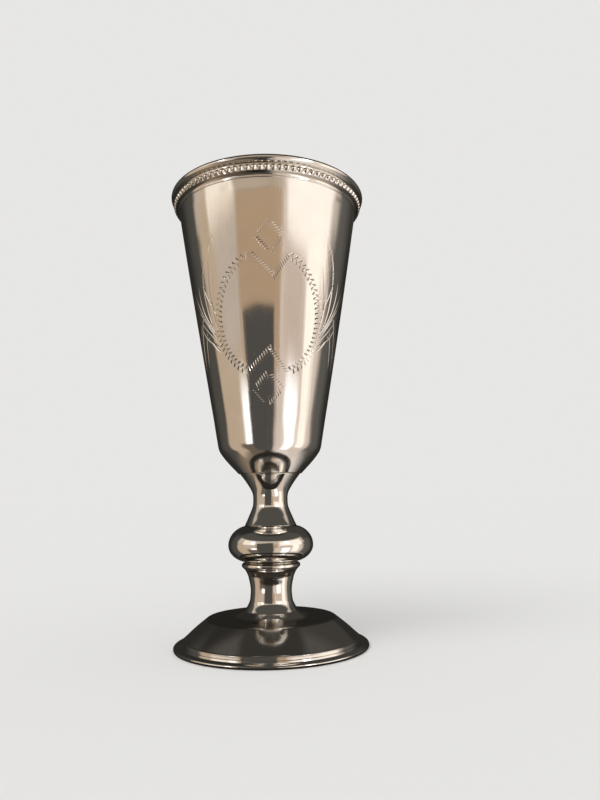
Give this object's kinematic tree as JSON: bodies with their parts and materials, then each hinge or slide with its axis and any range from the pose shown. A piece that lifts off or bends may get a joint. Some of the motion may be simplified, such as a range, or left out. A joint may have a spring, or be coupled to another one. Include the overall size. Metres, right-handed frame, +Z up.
{
  "type": "kiddush cup",
  "caption": "Tall stemmed silver cup with a conical bowl, beaded rim, flattened knop and round stepped foot, engraved with a medallion and sprays.",
  "frame": {"origin": "centre of the foot's underside, on the surface that the cup stands on", "axes": "+Z up along the cup's axis, from the foot to the mouth; the engraved medallion faces -Y"},
  "size_m": [0.0534, 0.0534, 0.12],
  "materials": {
    "bowl_silver": "polished old silver with fine upright polishing lines, engraved ornament and light wear",
    "rim_silver": "polished old silver, darker in the hollows between the beads",
    "stem_silver": "polished old silver with fine turning lines and a darker line at each seam",
    "foot_silver": "polished old silver, slightly duller, with scratches and a little tarnish by the seam"
  },
  "bodies": {
    "root": {"foot": "foot_silver", "lower_stem": "stem_silver", "knop": "stem_silver", "upper_stem": "stem_silver", "bowl": "bowl_silver", "beaded_rim": "rim_silver"}
  },
  "joints": []
}
